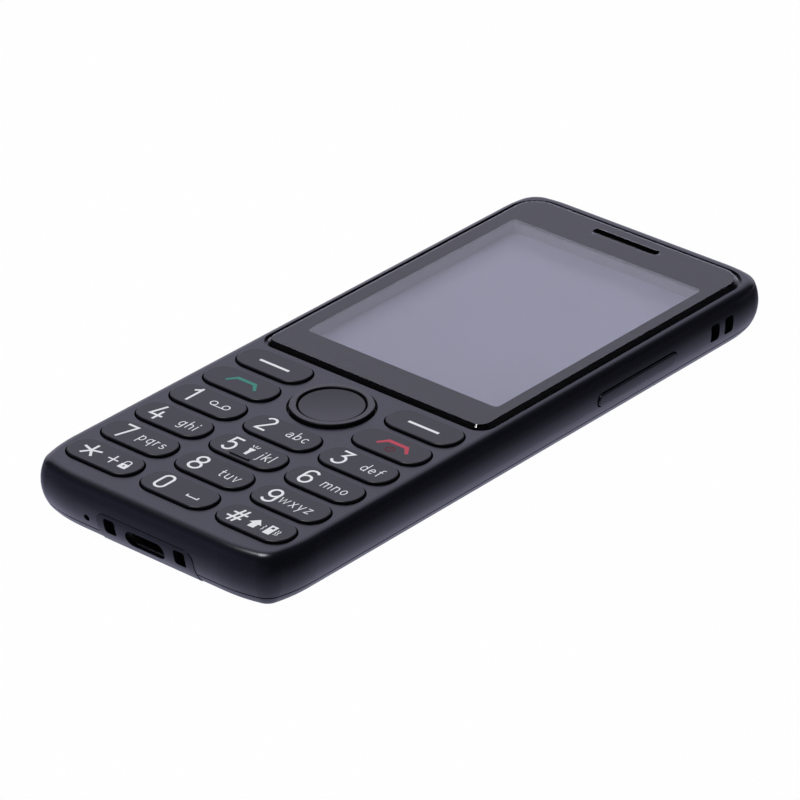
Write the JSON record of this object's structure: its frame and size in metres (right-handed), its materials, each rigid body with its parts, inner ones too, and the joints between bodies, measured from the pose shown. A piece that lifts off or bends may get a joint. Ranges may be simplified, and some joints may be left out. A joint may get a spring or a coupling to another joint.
{
  "type": "keypad bar phone",
  "caption": "One-piece mobile phone with a large display, a navigation ring, a full numeric keypad, a volume rocker and a lift-off back cover.",
  "frame": {"origin": "middle of the footprint, on the surface the phone's back lies on", "axes": "+X to the phone's right (the volume rocker's side), +Y from the keypad towards the earpiece, +Z out of the display"},
  "size_m": [0.0577, 0.1387, 0.0111],
  "materials": {
    "housing_plastic": "soft-touch dark blue-graphite",
    "cover_plastic": "soft-touch dark blue-graphite",
    "key_plastic": "satin, printed legends",
    "nav_gloss": "glossy black",
    "lens_glass": "clear with a black glossy bevel",
    "black_film": "dark grey film",
    "mesh_cloth": "woven, black",
    "black_plastic": "matt black",
    "display": "switched-off display, satin",
    "bright_steel": "pressed sheet",
    "screw_steel": "blackened",
    "silicone": "translucent grey",
    "dome_film": "clear film over steel domes",
    "circuit_board": "green solder mask",
    "frame_plastic": "moulded, matt",
    "battery_wrap": "label-free wrap",
    "contact_metal": "plated",
    "window_glass": "clear",
    "clear_plastic": "translucent",
    "flex_film": "amber film"
  },
  "bodies": {
    "phone": {"front_housing": "housing_plastic", "display_lens": "lens_glass", "lens_adhesive": "black_film", "earpiece_mesh": "mesh_cloth", "earpiece_receiver": "black_plastic", "display_frame": "black_plastic", "lcd_panel": "display", "lcd_tray": "bright_steel", "keypad_mat": "silicone", "dome_sheet": "dome_film", "main_board": "circuit_board", "rear_frame": "frame_plastic", "frame_screws": "screw_steel", "battery": "battery_wrap", "battery_contacts": "black_plastic", "card_holder": "bright_steel", "processor_shield": "bright_steel", "radio_shield": "bright_steel", "usb_shell": "bright_steel", "usb_tongue": "black_plastic", "dock_contacts": "contact_metal", "microphone": "bright_steel", "loudspeaker": "black_plastic", "vibration_motor": "bright_steel", "camera_module": "black_plastic", "torch_light": "clear_plastic", "antenna_flex": "flex_film", "side_switches": "flex_film"},
    "key_soft_left_body": {"key_soft_left": "key_plastic"},
    "key_soft_right_body": {"key_soft_right": "key_plastic"},
    "key_call_body": {"key_call": "key_plastic"},
    "key_end_body": {"key_end": "key_plastic"},
    "key_1_body": {"key_1": "key_plastic"},
    "key_2_body": {"key_2": "key_plastic"},
    "key_3_body": {"key_3": "key_plastic"},
    "key_4_body": {"key_4": "key_plastic"},
    "key_5_body": {"key_5": "key_plastic"},
    "key_6_body": {"key_6": "key_plastic"},
    "key_7_body": {"key_7": "key_plastic"},
    "key_8_body": {"key_8": "key_plastic"},
    "key_9_body": {"key_9": "key_plastic"},
    "key_star_body": {"key_star": "key_plastic"},
    "key_0_body": {"key_0": "key_plastic"},
    "key_hash_body": {"key_hash": "key_plastic"},
    "ok_body": {"ok_key": "key_plastic"},
    "nav_carrier_body": {"nav_carrier": "black_plastic"},
    "nav_ring_body": {"nav_ring": "nav_gloss"},
    "volume_rocker_body": {"volume_rocker": "housing_plastic"},
    "back_cover_body": {"back_cover": "cover_plastic", "camera_window": "window_glass"}
  },
  "joints": [
    {"name": "soft_left_press", "type": "slide", "parent": "phone", "child": "key_soft_left_body", "axis": [0, 0, -1], "range_m": [0, 0.0003], "stiffness_N_per_m": 900, "springref_m": -0.0004},
    {"name": "soft_right_press", "type": "slide", "parent": "phone", "child": "key_soft_right_body", "axis": [0, 0, -1], "range_m": [0, 0.0003], "stiffness_N_per_m": 900, "springref_m": -0.0004},
    {"name": "call_press", "type": "slide", "parent": "phone", "child": "key_call_body", "axis": [0, 0, -1], "range_m": [0, 0.0003], "stiffness_N_per_m": 900, "springref_m": -0.0004},
    {"name": "end_press", "type": "slide", "parent": "phone", "child": "key_end_body", "axis": [0, 0, -1], "range_m": [0, 0.0003], "stiffness_N_per_m": 900, "springref_m": -0.0004},
    {"name": "1_press", "type": "slide", "parent": "phone", "child": "key_1_body", "axis": [0, 0, -1], "range_m": [0, 0.0003], "stiffness_N_per_m": 900, "springref_m": -0.0004},
    {"name": "2_press", "type": "slide", "parent": "phone", "child": "key_2_body", "axis": [0, 0, -1], "range_m": [0, 0.0003], "stiffness_N_per_m": 900, "springref_m": -0.0004},
    {"name": "3_press", "type": "slide", "parent": "phone", "child": "key_3_body", "axis": [0, 0, -1], "range_m": [0, 0.0003], "stiffness_N_per_m": 900, "springref_m": -0.0004},
    {"name": "4_press", "type": "slide", "parent": "phone", "child": "key_4_body", "axis": [0, 0, -1], "range_m": [0, 0.0003], "stiffness_N_per_m": 900, "springref_m": -0.0004},
    {"name": "5_press", "type": "slide", "parent": "phone", "child": "key_5_body", "axis": [0, 0, -1], "range_m": [0, 0.0003], "stiffness_N_per_m": 900, "springref_m": -0.0004},
    {"name": "6_press", "type": "slide", "parent": "phone", "child": "key_6_body", "axis": [0, 0, -1], "range_m": [0, 0.0003], "stiffness_N_per_m": 900, "springref_m": -0.0004},
    {"name": "7_press", "type": "slide", "parent": "phone", "child": "key_7_body", "axis": [0, 0, -1], "range_m": [0, 0.0003], "stiffness_N_per_m": 900, "springref_m": -0.0004},
    {"name": "8_press", "type": "slide", "parent": "phone", "child": "key_8_body", "axis": [0, 0, -1], "range_m": [0, 0.0003], "stiffness_N_per_m": 900, "springref_m": -0.0004},
    {"name": "9_press", "type": "slide", "parent": "phone", "child": "key_9_body", "axis": [0, 0, -1], "range_m": [0, 0.0003], "stiffness_N_per_m": 900, "springref_m": -0.0004},
    {"name": "star_press", "type": "slide", "parent": "phone", "child": "key_star_body", "axis": [0, 0, -1], "range_m": [0, 0.0003], "stiffness_N_per_m": 900, "springref_m": -0.0004},
    {"name": "0_press", "type": "slide", "parent": "phone", "child": "key_0_body", "axis": [0, 0, -1], "range_m": [0, 0.0003], "stiffness_N_per_m": 900, "springref_m": -0.0004},
    {"name": "hash_press", "type": "slide", "parent": "phone", "child": "key_hash_body", "axis": [0, 0, -1], "range_m": [0, 0.0003], "stiffness_N_per_m": 900, "springref_m": -0.0004},
    {"name": "ok_press", "type": "slide", "parent": "phone", "child": "ok_body", "axis": [0, 0, -1], "range_m": [0, 0.0003], "stiffness_N_per_m": 900, "springref_m": -0.0004},
    {"name": "nav_up_down", "type": "hinge", "parent": "phone", "child": "nav_carrier_body", "pos_m": [0, -0.0209, 0.0084], "axis": [1, 0, 0], "range_deg": [-1.3, 1.3], "stiffness_Nm_per_rad": 0.05},
    {"name": "nav_left_right", "type": "hinge", "parent": "nav_carrier_body", "child": "nav_ring_body", "pos_m": [0, -0.0209, 0.0084], "axis": [0, 1, 0], "range_deg": [-1.3, 1.3], "stiffness_Nm_per_rad": 0.05},
    {"name": "volume_rock", "type": "hinge", "parent": "phone", "child": "volume_rocker_body", "pos_m": [0.02605, 0.0292, 0.00545], "axis": [0, 0, 1], "range_deg": [-1, 1], "stiffness_Nm_per_rad": 0.08},
    {"name": "back_cover_lift", "type": "slide", "parent": "phone", "child": "back_cover_body", "axis": [0, 0, -1], "range_m": [0, 0.012]}
  ]
}
